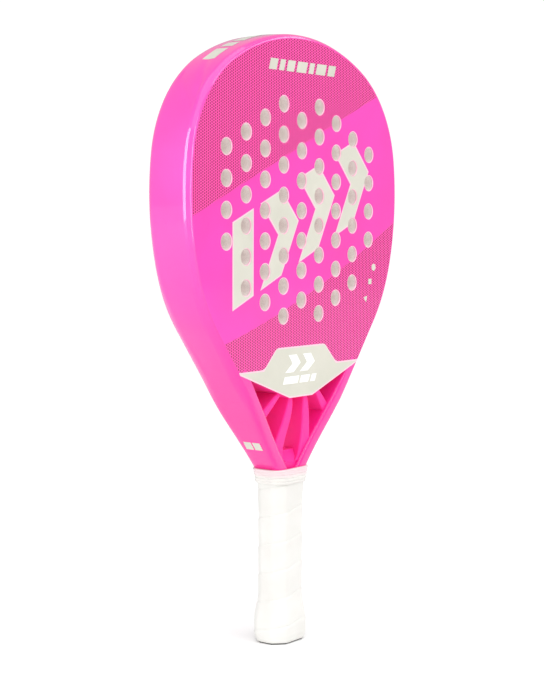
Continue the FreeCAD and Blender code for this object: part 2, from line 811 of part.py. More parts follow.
def make_grip():
    body = new_body("base_grip")
    grip = ("Dims.grip_a", "Dims.grip_b", "Dims.grip_c")
    flare = ("Dims.flare_a", "Dims.flare_b", "Dims.flare_c")
    octagon_loft(body, "grip_outside", [
        ("Dims.grip_start", "Dims.butt_a", "Dims.butt_b", "Dims.butt_c"),
        ("Dims.flare_low",) + flare,
        ("Dims.flare_mid",) + flare,
        ("Dims.flare_top",) + grip,
        ("Dims.grip_top",) + grip,
    ])
    octagon_loft(body, "grip_flare_inside", cap_levels(), cut=True)
    bore = octagon_sketch(body, "grip_bore", "0 mm", "Dims.pallet_a", "Dims.pallet_b", "Dims.pallet_c")
    pocket_through(body, bore)
    return body


def make_collar():
    body = new_body("finishing_tape")
    octagon_loft(body, "tape_outside", [
        ("Dims.grip_top", "Dims.collar_low_a", "Dims.collar_low_b", "Dims.collar_low_c"),
        ("Dims.collar_top", "Dims.collar_top_a", "Dims.collar_top_b", "Dims.collar_top_c"),
    ])
    octagon_loft(body, "tape_inside", [
        ("Dims.grip_top", "Dims.pallet_a", "Dims.pallet_b", "Dims.pallet_c"),
        ("Dims.collar_top", "Dims.collar_neck_a", "Dims.collar_neck_b", "Dims.collar_neck_c"),
    ], cut=True)
    return body


# ---------------------------------------------------------------- graphics, as thin films

def make_plate(label, offset):
    """The heart-shaped plate over the bridge."""
    body = new_body(label)
    sketch = new_sketch(body, label + "_outline", "XZ_Plane", offset)
    tip, flat = skin_bottom(size["bevel"])
    wing = leg_point(size["bevel"], size["plate_wing"])
    right = [flat, tip, wing, (size["plate_knee"], size["plate_wing"]),
             (size["plate_shoulder"], size["plate_top"])]
    add_polygon(sketch, right + [(-x, z) for x, z in reversed(right)])
    for corner, radius in ((3, 10.0), (4, 7.0)):
        for side in (1, -1):
            x, z = right[corner]
            fillet_corner(sketch, (side * x, z), radius)
    pad(body, sketch, "Dims.decal", midplane=False)
    return body


def fillet_corner(sketch, point, radius):
    """Rounds the corner of a sketch that lies at this point."""
    near = []
    for index in range(sketch.GeometryCount):
        for end in (1, 2):
            gap = sketch.getPoint(index, end) - Vector(point[0], point[1], 0)
            if gap.Length < 1e-6:
                near.append((index, end))
    sketch.fillet(near[0][0], near[0][1], radius)


def film(polygons, front, lift=0.0):
    """Flat films of these polygons on the front (-1) or rear (1) face, with the holes cut.
    The rear is mirrored, so that it reads the right way round from behind."""
    low = size["depth"] / 2 + lift
    solids = []
    for points in polygons:
        loop = [Vector(-front * x, front * low, z) for x, z in points]
        face = Part.Face(Part.makePolygon(loop + loop[:1]))
        solids.append(face.extrude(Vector(0, front * size["decal"], 0)))
    drills = []
    for x, z in hole_centres():
        drills.append(Part.makeCylinder(size["hole_dia"] / 2, 4, Vector(x, front * low - 2, z),
                                        Vector(0, 1, 0)))
    return Part.makeCompound(solids).cut(Part.makeCompound(drills))


def sheared(points):
    """Points given as x and height in the slanted band of the emblem."""
    height = size["emblem_high"] - size["emblem_low"]
    return [(x, size["emblem_low"] + size["emblem_slope"] * x + share * height) for x, share in points]


def emblem_polygons():
    """A bar and three bold chevrons that climb with the band."""
    bar = [(-82.0, 0.0), (-58.0, 0.0), (-58.0, 1.0), (-82.0, 1.0)]
    shapes = [sheared(bar)]
    for left in (-50.0, -4.0, 42.0):
        shapes.append(sheared([(left, 0.0), (left + 25.0, 0.0), (left + 46.0, 0.5),
                               (left + 25.0, 1.0), (left, 1.0), (left + 21.0, 0.5)]))
    return shapes


def slanted_bars(left, low, high, widths, gap, lean):
    """A row of slanted bars, each with its own width."""
    bars = []
    x = left
    for width in widths:
        bars.append([(x, low), (x + width, low), (x + width + lean, high), (x + lean, high)])
        x += width + gap
    return bars


def icon_polygons():
    """Three small plain signs up the right edge: a triangle, a square and a hexagon."""
    signs = []
    for (x, z), corners in zip(((85.2, 257.6), (91.2, 270.8), (96.2, 281.9)), (3, 4, 6)):
        signs.append([(x + 3.0 * math.cos(math.radians(360 * k / corners + 45)),
                       z + 3.0 * math.sin(math.radians(360 * k / corners + 45)))
                      for k in range(corners)])
    return signs


def plate_mark_polygons():
    """Two white chevrons over a white bar on the heart plate."""
    shapes = []
    for left in (-20.0, -2.0):
        shapes.append([(left, 206.5), (left + 10.0, 206.5), (left + 19.0, 213.0),
                       (left + 14.0, 219.5), (left + 4.0, 219.5), (left + 9.0, 213.0)])
    return shapes + slanted_bars(-23.0, 198.0, 203.5, (18.0, 11.0, 6.0), 2.5, 2.5)


def wrapped_film(grown, outer, prisms):
    """The thin skin over the frame's outer wall that lies inside these prisms."""
    return grown.common(Part.makeCompound(prisms)).cut(outer)


def make_rim_bars(grown, outer):
    prisms = []
    for left, width in ((-86, 16), (-66, 9), (-53, 22), (-27, 9), (-14, 28), (18, 9), (31, 22), (57, 9), (70, 16)):
        loop = [Vector(left, 5, 400), Vector(left + width, 5, 400),
                Vector(left + width, -6, 400), Vector(left, -6, 400)]
        prisms.append(Part.Face(Part.makePolygon(loop + loop[:1])).extrude(Vector(0, 0, 80)))
    inside = head_prism(size["tube_width"] / 2, size["depth"] + 4)
    return add_solid("rim_bars", wrapped_film(grown, outer.fuse(inside), prisms))


def make_side_mark(label, side, grown, outer):
    prisms = []
    for left in (-5.5, 0.5):
        loop = [Vector(side * 26, left, 149), Vector(side * 26, left + 4.5, 149),
                Vector(side * 26, left + 4.5, 156), Vector(side * 26, left, 156)]
        prisms.append(Part.Face(Part.makePolygon(loop + loop[:1])).extrude(Vector(side * 40, 0, 0)))
    return add_solid(label, wrapped_film(grown, outer, prisms))


# ---------------------------------------------------------------- assembly

def make_all():
    nodes = []
    hollow, outer, cavity = make_frame()
    nodes.append(add_solid("frame_tube", hollow))
    wall = size["tube_wall"] + size["film"]
    nodes.append(add_solid("frame_bladder", cavity.cut(tube_solid(wall, wall + size["skin"]))))
    nodes.append(make_skin("front_face", "Dims.depth / 2 - Dims.skin"))
    nodes.append(make_skin("rear_face", "-Dims.depth / 2"))
    nodes.append(make_core())
    nodes.append(make_bridge_shell())
    nodes.append(make_bridge_foam())
    for name, side in (("left", -1), ("right", 1)):
        nodes.append(make_inner_rib("rib_%s_inner" % name, side))
        nodes.append(make_outer_rib("rib_%s_outer" % name, side))
    nodes.append(make_wedge())
    nodes.append(make_pallet("handle_pallet_front", -1))
    nodes.append(make_pallet("handle_pallet_rear", 1))
    nodes.append(make_cap())
    nodes.append(make_screws())
    nodes.append(make_grip())
    nodes.append(make_collar())
    nodes.append(make_plate("heart_plate_front", "Dims.depth / 2"))
    nodes.append(make_plate("heart_plate_rear", "-Dims.depth / 2 - Dims.decal"))
    nodes.append(add_solid("plate_marks_front", film(plate_mark_polygons(), -1, size["decal"])))
    nodes.append(add_solid("plate_marks_rear", film(plate_mark_polygons(), 1, size["decal"])))
    nodes.append(add_solid("emblem_front", film(emblem_polygons(), -1)))
    nodes.append(add_solid("emblem_rear", film(emblem_polygons(), 1)))
    word = slanted_bars(-40.7, size["word_low"], size["word_high"],
                        (9.0, 6.0, 9.0, 12.0, 6.0, 12.0, 9.0), 3.0, 2.5)
    nodes.append(add_solid("word_bars", film(word, -1)))
    nodes.append(add_solid("small_icons", film(icon_polygons(), -1)))
    grown = tube_solid(-size["decal"], -size["decal"])
    nodes.append(make_rim_bars(grown, outer))
    nodes.append(make_side_mark("side_mark_left", -1, grown, outer))
    nodes.append(make_side_mark("side_mark_right", 1, grown, outer))
    return nodes


nodes = make_all()
doc.recompute()

os.makedirs("parts", exist_ok=True)
for item in doc.Objects:
    if "Invalid" in item.State or "Error" in item.State:
        raise RuntimeError("%s is %s" % (item.Name, item.State))
for node in nodes:
    if node.Shape.isNull() or not node.Shape.isValid():
        raise RuntimeError("%s has no valid shape" % node.Label)
    if not node.Shape.Solids:
        raise RuntimeError("%s has no solid" % node.Label)
    node.Shape.exportStep("parts/%s.step" % node.Label)
    print("%-22s solids %3d  volume %10.1f mm3" % (node.Label, len(node.Shape.Solids), node.Shape.Volume))
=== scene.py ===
import math

import bpy
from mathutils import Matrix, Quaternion, Vector


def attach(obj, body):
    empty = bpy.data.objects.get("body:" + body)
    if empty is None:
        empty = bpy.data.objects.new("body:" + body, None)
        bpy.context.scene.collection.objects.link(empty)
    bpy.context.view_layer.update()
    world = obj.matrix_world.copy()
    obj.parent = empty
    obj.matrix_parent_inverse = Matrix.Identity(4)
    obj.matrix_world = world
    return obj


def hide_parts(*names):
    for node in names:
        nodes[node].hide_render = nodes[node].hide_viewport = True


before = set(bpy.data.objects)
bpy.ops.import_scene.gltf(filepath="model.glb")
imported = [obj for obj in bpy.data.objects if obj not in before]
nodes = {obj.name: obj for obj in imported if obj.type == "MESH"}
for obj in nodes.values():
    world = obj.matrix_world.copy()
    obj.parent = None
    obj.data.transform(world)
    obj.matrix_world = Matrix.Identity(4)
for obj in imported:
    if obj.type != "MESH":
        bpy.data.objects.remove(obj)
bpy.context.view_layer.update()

MM = 0.001
MM_PER_METRE = 1000.0
scene = bpy.context.scene


# ---------------------------------------------------------------- node helpers

class Tree:
    """A material's node tree, with short calls for the nodes used here."""

    def __init__(self, name):
        self.material = bpy.data.materials.new(name)
        self.material.use_nodes = True
        self.tree = self.material.node_tree
        self.tree.nodes.clear()
        self.output = self.tree.nodes.new("ShaderNodeOutputMaterial")
        self.shader = self.tree.nodes.new("ShaderNodeBsdfPrincipled")
        self.tree.links.new(self.shader.outputs[0], self.output.inputs[0])

    def add(self, kind, **settings):
        node = self.tree.nodes.new(kind)
        for key, value in settings.items():
            setattr(node, key, value)
        return node

    def link(self, source, target):
        self.tree.links.new(source, target)

    def feed(self, socket, value):
        if hasattr(value, "is_output"):
            self.link(value, socket)
        else:
            socket.default_value = value

    def math(self, operation, first, second=0.0, third=0.0):
        node = self.add("ShaderNodeMath", operation=operation)
        for socket, value in zip(node.inputs, (first, second, third)):
            self.feed(socket, value)
        return node.outputs[0]

    def point(self):
        return self.add("ShaderNodeTexCoord").outputs["Object"]

    def axes(self):
        """The object's own x, y and z in millimetres."""
        split = self.add("ShaderNodeSeparateXYZ")
        self.link(self.point(), split.inputs[0])
        return [self.math("MULTIPLY", split.outputs[i], MM_PER_METRE) for i in range(3)]

    def face_axes(self):
        """x and z in millimetres, with x turned round on the rear so that both faces read alike."""
        x, y, z = self.axes()
        return self.math("MULTIPLY", x, self.math("MULTIPLY", self.math("SIGN", y), -1.0)), z

    def noise(self, scale, detail=2.0, roughness=0.5, stretch=None):
        node = self.add("ShaderNodeTexNoise")
        node.inputs["Scale"].default_value = scale
        node.inputs["Detail"].default_value = detail
        node.inputs["Roughness"].default_value = roughness
        source = self.point()
        if stretch:
            mapping = self.add("ShaderNodeMapping")
            mapping.inputs["Scale"].default_value = stretch
            self.link(source, mapping.inputs[0])
            source = mapping.outputs[0]
        self.link(source, node.inputs["Vector"])
        return node.outputs["Fac"]

    def remap(self, value, low, high, to_low, to_high):
        node = self.add("ShaderNodeMapRange")
        for socket, number in zip(node.inputs, (value, low, high, to_low, to_high)):
            self.feed(socket, number)
        return node.outputs[0]

    def patches(self, spread, scale, detail=2.0, roughness=0.5):
        """Soft noise from 0 to 1; a smaller spread gives harder patches."""
        noise = self.noise(scale, detail, roughness)
        return self.remap(noise, 0.5 - spread, 0.5 + spread, 0.0, 1.0)

    def mix(self, factor, first, second):
        node = self.add("ShaderNodeMix", data_type="RGBA")
        self.feed(node.inputs[0], factor)
        self.feed(node.inputs[6], first)
        self.feed(node.inputs[7], second)
        return node.outputs[2]

    def bump(self, height, strength, distance, normal=None):
        node = self.add("ShaderNodeBump")
        node.inputs["Strength"].default_value = strength
        node.inputs["Distance"].default_value = distance
        self.link(height, node.inputs["Height"])
        if normal is not None:
            self.link(normal, node.inputs["Normal"])
        return node.outputs[0]

    def set(self, **values):
        for key, value in values.items():
            self.feed(self.shader.inputs[key.replace("_", " ")], value)


def srgb(red, green, blue):
    """A colour given in display values from 0 to 255, as a linear colour."""
    def linear(value):
        value /= 255.0
        return value / 12.92 if value <= 0.04045 else ((value + 0.055) / 1.055) ** 2.4
    return (linear(red), linear(green), linear(blue), 1.0)


# ---------------------------------------------------------------- materials

PINK = srgb(250, 80, 180)
PINK_VIOLET = srgb(248, 86, 192)
PINK_DEEP = srgb(248, 34, 150)
LILAC = srgb(236, 205, 255)


def lacquer(t, colour, rough=0.27, coat=0.5, coat_rough=0.06):
    """Clear-coated pearl paint: slow colour drift, faint orange peel and fine rub marks."""
    drift = t.patches(0.15, 14.0, 3.0)
    rubs = t.noise(900.0, 4.0, 0.7, (1.0, 1.0, 0.15))
    t.set(Base_Color=colour(drift), Roughness=t.remap(rubs, 0.3, 0.7, rough, rough + 0.09),
          Specular_IOR_Level=0.25, Specular_Tint=LILAC,
          Coat_Weight=coat, Coat_Roughness=coat_rough,
          Sheen_Weight=0.05, Sheen_Roughness=0.3, Sheen_Tint=LILAC)
    t.set(Normal=t.bump(t.noise(420.0, 2.0), 0.06, 0.0002))
    t.set(Coat_Normal=t.bump(t.noise(260.0, 1.0), 0.04, 0.0002))


def frame_paint():
    t = Tree("frame_lacquer")
    z = t.axes()[2]
    up_the_legs = t.remap(z, 170.0, 350.0, 0.0, 1.0)
    over_the_top = t.remap(z, 365.0, 440.0, 1.0, 0.35)
    rise = t.math("MULTIPLY", up_the_legs, over_the_top)

    def colour(drift):
        return t.mix(rise, PINK_DEEP, t.mix(drift, PINK, PINK_VIOLET))

    lacquer(t, colour, coat=0.9)
    return t.material


# Painted shade: the throat's bridge, wedge and ribs carry the frame's own pink, and this deeper,
# matter copy of the frame lacquer stands in for the shade and pink bounce light inside the throat.
def throat_painted_shade():
    t = Tree("throat_painted_shade_lacquer")

    def colour(drift):
        return t.mix(drift, srgb(254, 50, 158), srgb(252, 44, 150))

    lacquer(t, colour, rough=0.45, coat=0.15, coat_rough=0.4)
    return t.material


DOT_ACROSS = 3.94
DOT_UP = 1.954
DOT_RADIUS = 0.72
DOT_BLUR = 0.08


def from_middle(t, value, step, shift):
    """Distance from the middle of the grid cell that holds this value."""
    cell = t.math("ADD", t.math("DIVIDE", value, step), shift)
    return t.math("MULTIPLY", t.math("SUBTRACT", t.math("FRACT", cell), 0.5), step)


def dots(t, x, z):
    """1 inside the dots of two equal grids, the second half a step off the first both ways."""
    nearest = None
    for shift in (0.0, 0.5):
        du = from_middle(t, x, DOT_ACROSS, shift)
        dv = from_middle(t, z, DOT_UP, shift)
        squares = t.math("ADD", t.math("MULTIPLY", du, du), t.math("MULTIPLY", dv, dv))
        away = t.math("SQRT", squares)
        nearest = away if nearest is None else t.math("MINIMUM", nearest, away)
    return t.remap(nearest, DOT_RADIUS - DOT_BLUR, DOT_RADIUS + DOT_BLUR, 1.0, 0.0)


def face_print():
    """Plain slanted band between two zones of fine dots, under clear lacquer."""
    t = Tree("face_print")
    x, z = t.face_axes()
    upper = t.math("SUBTRACT", z, t.math("MULTIPLY_ADD", x, 0.4215, 374.1))
    curve = t.math("MULTIPLY_ADD", t.math("MULTIPLY", x, x), 0.00063, 260.6)
    lower = t.math("SUBTRACT", t.math("MULTIPLY_ADD", x, 0.377, curve), z)
    zone = t.remap(t.math("MAXIMUM", upper, lower), -0.15, 0.15, 0.0, 1.0)
    spots = t.math("MULTIPLY", zone, dots(t, x, z))

    def colour(drift):
        plain = t.mix(drift, srgb(250, 62, 168), srgb(248, 66, 180))
        ground = t.mix(zone, plain, srgb(255, 84, 176))
        return t.mix(spots, ground, srgb(136, 0, 62))

    lacquer(t, colour)
    return t.material


def print_finish(t, colour):
    t.set(Base_Color=colour, Roughness=t.remap(t.noise(700.0), 0.3, 0.7, 0.32, 0.42),
          Coat_Weight=0.5, Coat_Roughness=0.12)
    t.set(Normal=t.bump(t.noise(500.0), 0.06, 0.0002))


def beige(t):
    drift = t.patches(0.15, 30.0, 3.0)
    return t.mix(drift, srgb(212, 210, 197), srgb(204, 203, 189))


def outlined(t, nearest, width):
    """Beige with a thin pale line where nearest, the distance to the edge, is small."""
    line = t.remap(nearest, width - 0.2, width + 0.2, 1.0, 0.0)
    print_finish(t, t.mix(line, beige(t), srgb(246, 200, 216)))


def beige_print():
    t = Tree("beige_print")
    print_finish(t, beige(t))
    return t.material


def emblem_print():
    """The slanted bar and chevrons: beige, with a pale line along every edge."""
    height, step, width = 62.5, 46.0, 25.0
    t = Tree("emblem_print")
    x, z = t.face_axes()
    rise = t.math("SUBTRACT", z, t.math("MULTIPLY_ADD", x, 0.417, 289.0))
    share = t.math("DIVIDE", rise, height)
    ends = t.math("MINIMUM", rise, t.math("SUBTRACT", height, rise))
    bow = t.math("SUBTRACT", 1.0, t.math("ABSOLUTE", t.math("MULTIPLY_ADD", share, 2.0, -1.0)))
    u = t.math("MULTIPLY_ADD", bow, -21.0, x)
    turns = t.math("DIVIDE", t.math("ADD", u, 50.0), step)
    along = t.math("MULTIPLY", t.math("FRACT", turns), step)
    inside = t.math("MINIMUM", along, t.math("SUBTRACT", width, along))
    chevron = t.math("MULTIPLY", inside, 0.83)
    bar = t.math("MINIMUM", t.math("ADD", x, 82.0), t.math("SUBTRACT", -58.0, x))
    on_bar = t.math("LESS_THAN", x, -56.0)
    sides = t.math("ADD", t.math("MULTIPLY", on_bar, bar),
                   t.math("MULTIPLY", t.math("SUBTRACT", 1.0, on_bar), chevron))
    outlined(t, t.math("MINIMUM", sides, ends), 1.0)
    return t.material


def plate_print():
    """The heart plate: beige, with a pale line round it."""
    t = Tree("plate_print")
    x, _, z = t.axes()
    x = t.math("ABSOLUTE", x)
    slope = t.math("MULTIPLY_ADD", x, 0.356, 182.44)
    low = t.math("SUBTRACT", z, t.math("MAXIMUM", slope, 187.5))
    cut = t.math("MULTIPLY_ADD", x, -1.0, 255.6)
    high = t.math("SUBTRACT", t.math("MINIMUM", t.math("MAXIMUM", cut, 210.5), 225.5), z)
    outlined(t, t.math("MINIMUM", low, high), 1.0)
    return t.material


def white_print():
    t = Tree("white_print")
    drift = t.patches(0.15, 60.0, 3.0)
    t.set(Base_Color=t.mix(drift, srgb(250, 250, 247), srgb(242, 243, 240)),
          Roughness=t.remap(t.noise(700.0), 0.3, 0.7, 0.3, 0.4),
          Coat_Weight=0.5, Coat_Roughness=0.12)
    return t.material


def lip_lacquer():
    """The pale pink lip round each drilled hole."""
    t = Tree("lip_lacquer")
    cloud = t.patches(0.2, 240.0, 3.0)
    t.set(Base_Color=t.mix(cloud, srgb(250, 204, 220), srgb(244, 186, 206)),
          Roughness=t.remap(t.noise(800.0), 0.3, 0.7, 0.35, 0.5),
          Coat_Weight=0.4, Coat_Roughness=0.15)
    t.set(Normal=t.bump(t.noise(700.0), 0.1, 0.0002))
    return t.material


def core_foam():
    """Cut rubber foam: pale grey with open pores.

    A weak glow, which the real foam lacks, keeps the drilled holes from going dark.
    """
    t = Tree("core_foam")
    cells = t.add("ShaderNodeTexVoronoi")
    cells.inputs["Scale"].default_value = 1300.0
    t.link(t.point(), cells.inputs["Vector"])
    pore = t.remap(cells.outputs["Distance"], 0.1, 0.6, 0.0, 1.0)
    cloud = t.patches(0.2, 260.0, 4.0, 0.6)
    body = t.mix(cloud, srgb(243, 237, 233), srgb(249, 243, 239))
    t.set(Base_Color=t.mix(pore, srgb(226, 220, 215), body), Roughness=0.85,
          Emission_Color=srgb(255, 235, 232), Emission_Strength=0.055)
    t.set(Normal=t.bump(cells.outputs["Distance"], 0.12, 0.0002))
    return t.material


def plain_foam(name, colour, dark):
    """Rigid foam, with a cloudy colour between two tones."""
    t = Tree(name)
    cloud = t.patches(0.2, 300.0, 4.0, 0.6)
    t.set(Base_Color=t.mix(cloud, colour, dark), Roughness=0.8)
    t.set(Normal=t.bump(t.noise(900.0, 3.0), 0.3, 0.0003))
    return t.material


def soft_band(name, light, dark, pink_bounce=0.0):
    """Soft white polyurethane: matt and finely pebbled, with a painted pink bounce light from the
    pink neck over the collar's top.
    """
    t = Tree(name)
    grain = t.add("ShaderNodeTexVoronoi")
    grain.inputs["Scale"].default_value = 1500.0
    t.link(t.point(), grain.inputs["Vector"])
    drift = t.patches(0.2, 45.0, 4.0)
    # Painted pink bounce light from the pink neck, over the top few millimetres of the collar.
    painted_bounce = t.remap(t.axes()[2], 126.5, 129.0, 0.0, pink_bounce)
    t.set(Base_Color=t.mix(painted_bounce, t.mix(drift, light, dark), srgb(231, 210, 214)),
          Roughness=t.remap(t.noise(600.0), 0.3, 0.7, 0.55, 0.7),
          Sheen_Weight=0.1, Sheen_Roughness=0.4)
    fine = t.bump(grain.outputs["Distance"], 0.12, 0.0003)
    t.set(Normal=t.bump(t.noise(220.0, 3.0), 0.12, 0.0006, fine))
    return t.material


def cap_plastic():
    t = Tree("cap_plastic")
    spark = t.noise(1800.0, 3.0)
    t.set(Base_Color=t.mix(t.patches(0.2, 80.0), srgb(40, 38, 38), srgb(54, 52, 52)),
          Roughness=t.remap(spark, 0.3, 0.7, 0.5, 0.65))
    t.set(Normal=t.bump(spark, 0.3, 0.0002))
    return t.material


def steel():
    t = Tree("screw_steel")
    brush = t.noise(1200.0, 3.0, 0.6, (1.0, 8.0, 1.0))
    shine = t.remap(brush, 0.3, 0.7, 0.0, 1.0)
    t.set(Base_Color=t.mix(shine, srgb(170, 170, 172), srgb(205, 205, 208)),
          Metallic=1.0, Roughness=t.remap(brush, 0.3, 0.7, 0.25, 0.4))
    return t.material


def film_material():
    t = Tree("bladder_film")
    cloud = t.patches(0.2, 120.0, 4.0)
    t.set(Base_Color=t.mix(cloud, srgb(230, 228, 216), srgb(214, 212, 200)), Roughness=0.4)
    t.set(Normal=t.bump(t.noise(160.0, 4.0), 0.4, 0.0006))
    return t.material


def floor_material():
    t = Tree("floor_paper")
    cloud = t.patches(0.2, 6.0, 3.0)
    t.set(Base_Color=t.mix(cloud, (0.96, 0.96, 0.96, 1.0), (0.94, 0.94, 0.94, 1.0)), Roughness=0.9)
    return t.material


def assign(name, material):
    mesh = nodes[name].data
    mesh.materials.clear()
    mesh.materials.append(material)


# ---------------------------------------------------------------- frame

DEG = math.pi / 180
TOP = 455.0
ARC_SIZES = ((167.0, 28.4), (93.1, 53.5), (207.3, 22.6), (131.3, 23.1))
TUBE_WIDTH = 11.0
NECK_RADIUS = 15.0
HANDLE_X = 11.5
TUBE_END = 14.0


def outline_pieces():
    """The right outer outline from the top: arcs, the straight leg, the neck's bend, the handle."""
    x, z, turn = 0.0, TOP, 0.0
    pieces = []
    for radius, sweep in ARC_SIZES:
        centre = (x - radius * math.sin(turn), z - radius * math.cos(turn))
        pieces.append(("arc", radius * sweep * DEG, centre, radius, turn, 1))
        turn += sweep * DEG
        x = centre[0] + radius * math.sin(turn)
        z = centre[1] + radius * math.cos(turn)
    neck_turn = turn - math.pi / 2
    bend_x = HANDLE_X + NECK_RADIUS * (1 - math.cos(neck_turn))
    leg = (bend_x - x) / math.cos(turn)
    pieces.append(("line", leg, (x, z), 0.0, turn, 0))
    z -= leg * math.sin(turn)
    end_z = z - NECK_RADIUS * math.sin(neck_turn)
    bend = (HANDLE_X + NECK_RADIUS, end_z)
    pieces.append(("arc", NECK_RADIUS * neck_turn, bend, NECK_RADIUS, turn, -1))
    pieces.append(("line", end_z - TUBE_END, (HANDLE_X, end_z), 0.0, math.pi / 2, 0))
    return pieces


PIECES = outline_pieces()


def path(distance):
    """Point of the outline at this distance from the top: x, z and how far it has turned."""
    left = distance
    for piece in PIECES:
        kind, length, start, radius, turn, way = piece
        if left <= length or piece is PIECES[-1]:
            break
        left -= length
    if kind == "line":
        return start[0] + left * math.cos(turn), start[1] - left * math.sin(turn), turn
    now = turn + way * left / radius
    return start[0] + way * radius * math.sin(now), start[1] + way * radius * math.cos(now), now


def ease(value, low, high):
    t = min(1.0, max(0.0, (value - low) / (high - low)))
    return t * t * (3 - 2 * t)


def half_depth(z):
    """Half the frame's depth at this height: thin in the handle, full in the head."""
    depth = 9.0 + 3.0 * ease(z, 118.0, 132.0)
    return depth + 7.0 * ease(z, 132.0, 200.0)


def bezier(p, q, r, count):
    points = []
    for k in range(count):
        t = k / (count - 1)
        points.append(tuple(a * (1 - t) ** 2 + 2 * b * t * (1 - t) + c * t * t
                            for a, b, c in zip(p, q, r)))
    return points


def soften(before, corner, after, reach):
    """Three points that round a corner of a polyline over this reach."""
    ends = []
    for other in (before, after):
        span = math.hypot(other[0] - corner[0], other[1] - corner[1])
        share = min(0.4, reach / span)
        ends.append(tuple(c + (o - c) * share for c, o in zip(corner, other)))
    return bezier(ends[0], corner, ends[1], 3)


def blend(first, second, share):
    return tuple(a + (b - a) * share for a, b in zip(first, second))


def rounded(p, corner, r, power, count, low, high):
    """Part of a curve from p to r that is drawn towards a corner, further for a higher power."""
    points = []
    for k in range(count):
        t = low + (high - low) * k / (count - 1)
        ends = (1 - t) ** power, t ** power
        points.append(tuple(a * ends[0] + c * ends[1] + b * (1 - sum(ends))
                            for a, b, c in zip(p, corner, r)))
    return points


PAINT = 0.03
BEVEL = 3.4
LEG_BEVEL_GAIN = 5.8
FLAT_STEPS = 8
CORNER_REACH = 0.2


def quarter(z):
    """The front outer quarter of the section, from the inner wall round to the outer wall.

    Round the head the corner is cut by three flats; down the legs it turns into one round.
    """
    half = half_depth(z + 3)
    lip = 0.08 * ease(z, 205.0, 209.0)
    soft = 0.3 + 2.9 * ease(-z, -208.0, -180.0)
    bevel_in = BEVEL + LEG_BEVEL_GAIN * ease(-z, -206.0, -150.0)
    bevel_in = min(bevel_in, TUBE_WIDTH - soft - 1.0)
    bevel_deep = min(BEVEL + LEG_BEVEL_GAIN * ease(-z, -285.0, -205.0), half * 0.78)
    bulge = ease(-z, -262.0, -222.0)
    low = half - lip + PAINT
    top = half + PAINT
    points = bezier((TUBE_WIDTH, half - soft), (TUBE_WIDTH, low), (TUBE_WIDTH - soft, low), 6)
    step = min(0.35, (TUBE_WIDTH - soft - bevel_in) * 0.3)
    points += [(bevel_in + 2 * step, low), (bevel_in + step, top)]
    start = (bevel_in, top)
    end = (0.0, half - bevel_deep)
    wall_end = (0.0, end[1] - 1.95)
    first = (bevel_in - 1.5, top - 0.75)
    last = (0.52, end[1] + 0.52)
    flat = [blend(first, last, k / FLAT_STEPS) for k in range(FLAT_STEPS + 1)]
    power = 1.55 + 1.45 * ease(-z, -205.0, -172.0)
    leg = rounded(start, (0.0, top), end, power, FLAT_STEPS + 1, 0.08, 0.92)
    cut = [blend(a, b, bulge) for a, b in zip(flat, leg)]
    points += soften(points[-1], start, cut[0], CORNER_REACH)
    points += soften(start, cut[0], cut[1], CORNER_REACH)
    points += cut[1:-1]
    points += soften(cut[-2], cut[-1], wall_end, CORNER_REACH)
    points += soften(cut[-1], wall_end, (0.0, 0.0), 0.3)
    return points, points[-1][1]


def crown(z, v, edge):
    """How far the outer wall swells between its two edges, as a negative inward distance."""
    return -0.4 * ease(z, 190.0, 260.0) * (1 - (v / edge) ** 2)


CREASES = ((106.0, 14.0, 142.0, -14.0), (90.0, 0.0, 130.0, -15.0))


def crease(distance, v):
    """Two soft creases that cross the wall slantwise at each shoulder."""
    depth = 0.0
    for d0, v0, d1, v1 in CREASES:
        run, drop = d1 - d0, v1 - v0
        away = abs((distance - d0) * drop - (v - v0) * run) / math.hypot(run, drop)
        inside = ease(distance, d0 - 14.0, d0 + 4.0) * ease(-distance, -d1 - 4.0, -d1 + 6.0)
        depth += 0.6 * inside * math.exp(-(away / 3.0) ** 2)
    return depth


def section(distance):
    """The closed section of the frame here, as points (inward, depth)."""
    z = path(distance)[1]
    front, edge = quarter(z)
    wall = []
    for k in range(1, 20):
        v = edge * (1 - k / 10)
        wall.append((crown(z, v, edge) + crease(distance, -v), v))
    loop = [(u, -v) for u, v in front]
    loop += [(u, -v) for u, v in wall]
    loop += [(u, v) for u, v in reversed(front)]
    return loop


def placed(distance, side, u, v):
    x, z, turn = path(distance)
    return Vector((side * (x - u * math.sin(turn)), v, z - u * math.cos(turn))) * MM


STATION_STEPS = (4.0, 2.5, 4.0, 3.0, 2.0, 1.0, 6.0)


def frame_distances():
    """Distances from the top at which the section is drawn, closer where the outline bends."""
    marks = [0.0]
    total = 0.0
    for (_, length, *_), step in zip(PIECES, STATION_STEPS):
        count = max(2, round(length / step))
        marks += [total + length * (k + 1) / count for k in range(count)]
        total += length
    return marks


def new_piece(name, verts, faces, material, slot, *replaced):
    """A smooth mesh that rides on the one body, and stands in for the named nodes."""
    mesh = bpy.data.meshes.new(name)
    mesh.from_pydata(verts, [], faces)
    mesh.shade_smooth()
    piece = bpy.data.objects.new(name, mesh)
    scene.collection.objects.link(piece)
    mesh.materials.append(material)
    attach(piece, "root")
    if replaced:
        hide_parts(*replaced)
    return piece


def make_frame(material):
    marks = frame_distances()
    stations = [(d, -1) for d in reversed(marks[1:])] + [(d, 1) for d in marks]
    verts = []
    for distance, side in stations:
        verts += [placed(distance, side, u, v) for u, v in section(distance)]
    around = len(section(0.0))
    faces = []
    for row in range(len(stations) - 1):
        here, there = row * around, (row + 1) * around
        for k in range(around):
            n = (k + 1) % around
            faces.append((here + k, here + n, there + n, there + k))
    last = (len(stations) - 1) * around
    faces.append(tuple(reversed(range(around))))
    faces.append(tuple(last + k for k in range(around)))
    new_piece("frame_shell", verts, faces, material, "frame_paint", "frame_tube")


